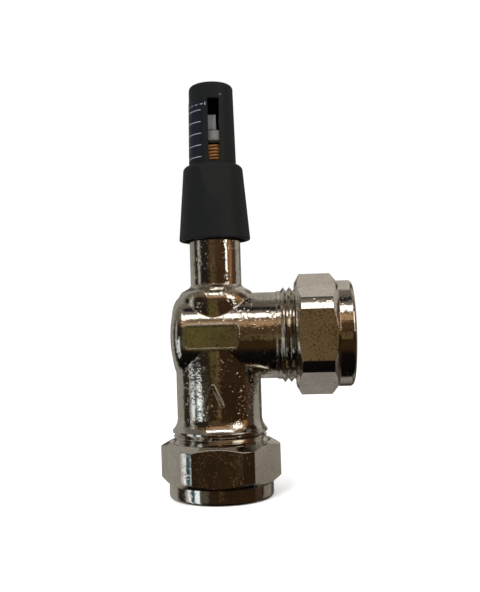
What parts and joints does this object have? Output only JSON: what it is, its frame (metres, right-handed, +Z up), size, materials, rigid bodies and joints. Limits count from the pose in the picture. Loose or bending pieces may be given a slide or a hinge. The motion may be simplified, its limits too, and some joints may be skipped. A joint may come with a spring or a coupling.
{
  "type": "automatic bypass valve",
  "caption": "Angle differential-pressure bypass valve: plated forged body, two compression nuts, a black setting head that turns, and a sprung disc inside.",
  "frame": {"origin": "centre of the inlet nut's outer face, on the valve's vertical axis", "axes": "+Z up along the inlet, neck and head; +X along the outlet; -Y faces the front pad and the flow arrow"},
  "size_m": [0.0565, 0.032, 0.1197],
  "materials": {
    "black_plastic": "black moulded plastic, satin",
    "brass": "bare turned brass",
    "label_film": "dark blue film",
    "plated_forging": "nickel plated forged brass, bright, slightly rough",
    "plated_nut": "nickel plated turned brass",
    "rubber": "black nitrile rubber",
    "spring_wire": "copper coloured spring wire",
    "steel": "stainless steel",
    "thrust_plastic": "plain acetal",
    "white_nylon": "natural nylon"
  },
  "bodies": {
    "valve": {"valve_body": "plated_forging", "seat_ring": "brass", "gland_insert": "brass", "gland_o_ring": "rubber", "stem_o_ring": "rubber", "gland_washer": "steel", "gland_nut": "brass", "snap_ring": "steel", "thrust_washer": "thrust_plastic"},
    "disc_assembly": {"stem": "steel", "valve_disc": "brass", "disc_seal": "rubber", "disc_washer": "steel", "disc_nut": "brass", "collar_clip": "steel", "spring_collar": "brass"},
    "carrier": {"spring_carrier": "white_nylon", "carrier_washer": "steel", "setting_spring": "spring_wire"},
    "head": {"scale_tube": "black_plastic", "grip_sleeve": "black_plastic", "scale_label": "label_film"},
    "inlet_olive": {"inlet_olive": "brass"},
    "inlet_nut": {"inlet_nut": "plated_nut"},
    "outlet_olive": {"outlet_olive": "brass"},
    "outlet_nut": {"outlet_nut": "plated_nut"}
  },
  "joints": [
    {"name": "head_turn", "type": "hinge", "parent": "valve", "child": "head", "pos_m": [0, 0, 0.09], "axis": [0, 0, 1], "range_deg": [-1476.5, 936.5]},
    {"name": "carrier_travel", "type": "slide", "parent": "valve", "child": "carrier", "axis": [0, 0, 1], "range_m": [-0.0082, 0.0052], "deforming": ["setting_spring"]},
    {"name": "disc_lift", "type": "slide", "parent": "valve", "child": "disc_assembly", "axis": [0, 0, 1], "range_m": [0, 0.003], "stiffness_N_per_m": 600, "springref_m": -0.009},
    {"name": "inlet_nut_travel", "type": "slide", "parent": "valve", "child": "inlet_olive", "axis": [0, 0, -1], "range_m": [0, 0.00724]},
    {"name": "inlet_nut_turn", "type": "hinge", "parent": "inlet_olive", "child": "inlet_nut", "pos_m": [0, 0, 0.008], "axis": [0, 0, 1], "range_deg": [0, 1440.5]},
    {"name": "outlet_nut_travel", "type": "slide", "parent": "valve", "child": "outlet_olive", "axis": [1, 0, 0], "range_m": [0, 0.00724]},
    {"name": "outlet_nut_turn", "type": "hinge", "parent": "outlet_olive", "child": "outlet_nut", "pos_m": [0.031, 0, 0.0465], "axis": [-1, 0, 0], "range_deg": [0, 1440.5]}
  ],
  "couplings": [
    {"joint": "head_turn", "follows": "carrier_travel", "rad_per_m": 3141.6},
    {"joint": "inlet_nut_turn", "follows": "inlet_nut_travel", "rad_per_m": 3471.4},
    {"joint": "outlet_nut_turn", "follows": "outlet_nut_travel", "rad_per_m": 3471.4}
  ]
}
